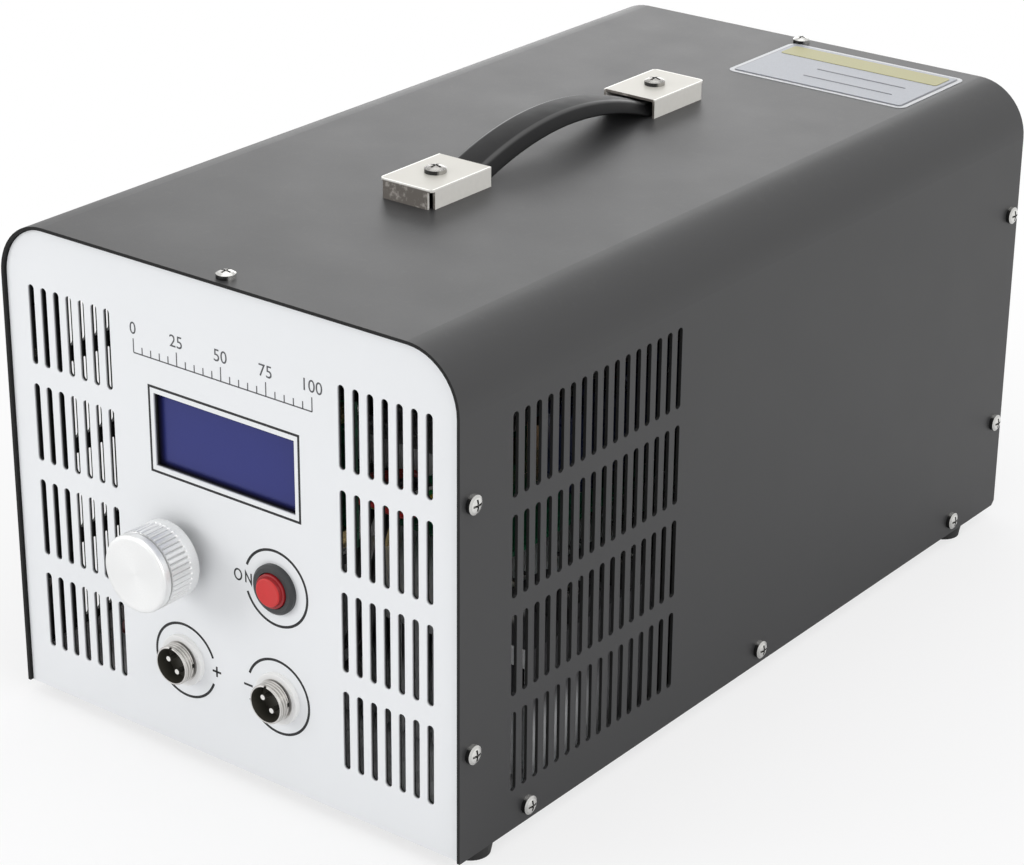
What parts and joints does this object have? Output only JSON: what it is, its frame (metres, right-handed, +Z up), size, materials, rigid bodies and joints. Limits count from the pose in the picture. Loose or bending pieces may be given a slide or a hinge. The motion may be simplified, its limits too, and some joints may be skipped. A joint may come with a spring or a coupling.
{
  "type": "dc electronic load",
  "caption": "Bench DC electronic load for battery capacity tests: slotted wrap cover with strap handle, white front panel with display, knob, push button and screw sockets, fan-cooled.",
  "frame": {"origin": "on the ground below the middle of the whole outline", "axes": "+Z up, front panel faces -Y, +X to the right as seen from the front"},
  "size_m": [0.1724, 0.318, 0.166],
  "materials": {
    "cover_paint": "charcoal fine-texture powder coat, satin",
    "panel_paint": "cool white powder coat, smooth, with dark printed rings and frame",
    "tray_zinc": "zinc-plated sheet steel",
    "screw_zinc": "bright zinc plate",
    "foot_rubber": "matt black rubber",
    "strap_rubber": "black moulded rubber, satin",
    "cap_nickel": "nickel plate, light wear",
    "display_glass": "deep blue unlit display",
    "display_frame": "black steel",
    "light_guide": "white light guide",
    "board_green": "green solder mask",
    "chip_black": "black moulded",
    "post_brass": "plain brass",
    "encoder_metal": "plated",
    "plunger_plastic": "natural nylon",
    "knob_aluminium": "satin anodised, spun face",
    "set_screw_black": "black oxide",
    "button_black": "black moulded",
    "button_red": "red moulded",
    "spring_steel": "spring steel",
    "socket_nickel": "nickel plate, threaded",
    "insert_black": "black moulded",
    "pin_silver": "silver plate",
    "sink_aluminium": "extruded, plain",
    "capacitor_sleeve": "dark sleeve",
    "shunt_copper": "bare alloy strip",
    "supply_aluminium": "folded sheet",
    "fan_black": "black moulded",
    "guard_steel": "bright steel wire",
    "inlet_black": "black moulded",
    "rocker_black": "black moulded",
    "blade_nickel": "plated",
    "lead_red": "red insulation",
    "lead_black": "black insulation",
    "loom_wire": "coloured insulation"
  },
  "bodies": {
    "case": {"cover": "cover_paint", "front_panel": "panel_paint", "base_tray": "tray_zinc", "rear_panel": "cover_paint", "cover_screws": "screw_zinc", "panel_screws": "screw_zinc", "feet": "foot_rubber", "foot_screws": "screw_zinc", "handle_strap": "strap_rubber", "handle_cap_front": "cap_nickel", "handle_cap_rear": "cap_nickel", "handle_screws": "screw_zinc", "handle_nuts": "screw_zinc", "display_glass": "display_glass", "display_backlight": "light_guide", "display_frame": "display_frame", "control_board": "board_green", "control_chips": "chip_black", "board_posts": "post_brass", "board_screws": "screw_zinc", "encoder_body": "encoder_metal", "encoder_nut": "encoder_metal", "button_housing": "button_black", "button_spring": "spring_steel", "button_nut": "button_black", "heat_sink": "sink_aluminium", "power_transistors": "chip_black", "transistor_screws": "screw_zinc", "power_board": "board_green", "power_posts": "post_brass", "capacitors": "capacitor_sleeve", "shunt_bars": "shunt_copper", "supply_case": "supply_aluminium", "supply_terminals": "chip_black", "fan_frame": "fan_black", "fan_guard": "guard_steel", "fan_screws": "screw_zinc", "inlet_housing": "inlet_black", "inlet_blades": "blade_nickel", "inlet_screws": "screw_zinc", "plus_leads": "lead_red", "minus_leads": "lead_black", "signal_loom": "loom_wire", "plus_socket_shell": "socket_nickel", "plus_socket_insert": "insert_black", "plus_socket_pins": "pin_silver", "plus_socket_nut": "socket_nickel", "minus_socket_shell": "socket_nickel", "minus_socket_insert": "insert_black", "minus_socket_pins": "pin_silver", "minus_socket_nut": "socket_nickel"},
    "encoder_plunger": {"encoder_plunger": "plunger_plastic"},
    "knob": {"encoder_shaft": "encoder_metal", "knob": "knob_aluminium", "knob_set_screw": "set_screw_black"},
    "button": {"button_cap": "button_red"},
    "fan_rotor": {"fan_rotor": "fan_black"},
    "rocker": {"power_rocker": "rocker_black"},
    "fuse_drawer": {"fuse_drawer": "inlet_black"}
  },
  "joints": [
    {"name": "encoder_push", "type": "slide", "parent": "case", "child": "encoder_plunger", "axis": [0, 1, 0], "range_m": [0, 0.0005], "stiffness_N_per_m": 4000},
    {"name": "knob_turn", "type": "hinge", "parent": "encoder_plunger", "child": "knob", "pos_m": [-0.0182, -0.14845, 0.0671], "axis": [0, -1, 0], "continuous": true},
    {"name": "button_press", "type": "slide", "parent": "case", "child": "button", "axis": [0, 1, 0], "range_m": [0, 0.002], "stiffness_N_per_m": 1200, "deforming": ["button_spring"]},
    {"name": "fan_spin", "type": "hinge", "parent": "case", "child": "fan_rotor", "pos_m": [0.03465, 0.15195, 0.068], "axis": [0, 1, 0], "continuous": true},
    {"name": "rocker_tip", "type": "hinge", "parent": "case", "child": "rocker", "pos_m": [-0.04665, 0.15195, 0.1045], "axis": [-1, 0, 0], "range_deg": [-22, 0]},
    {"name": "fuse_pull", "type": "slide", "parent": "case", "child": "fuse_drawer", "axis": [0, 1, 0], "range_m": [0, 0.02]}
  ]
}
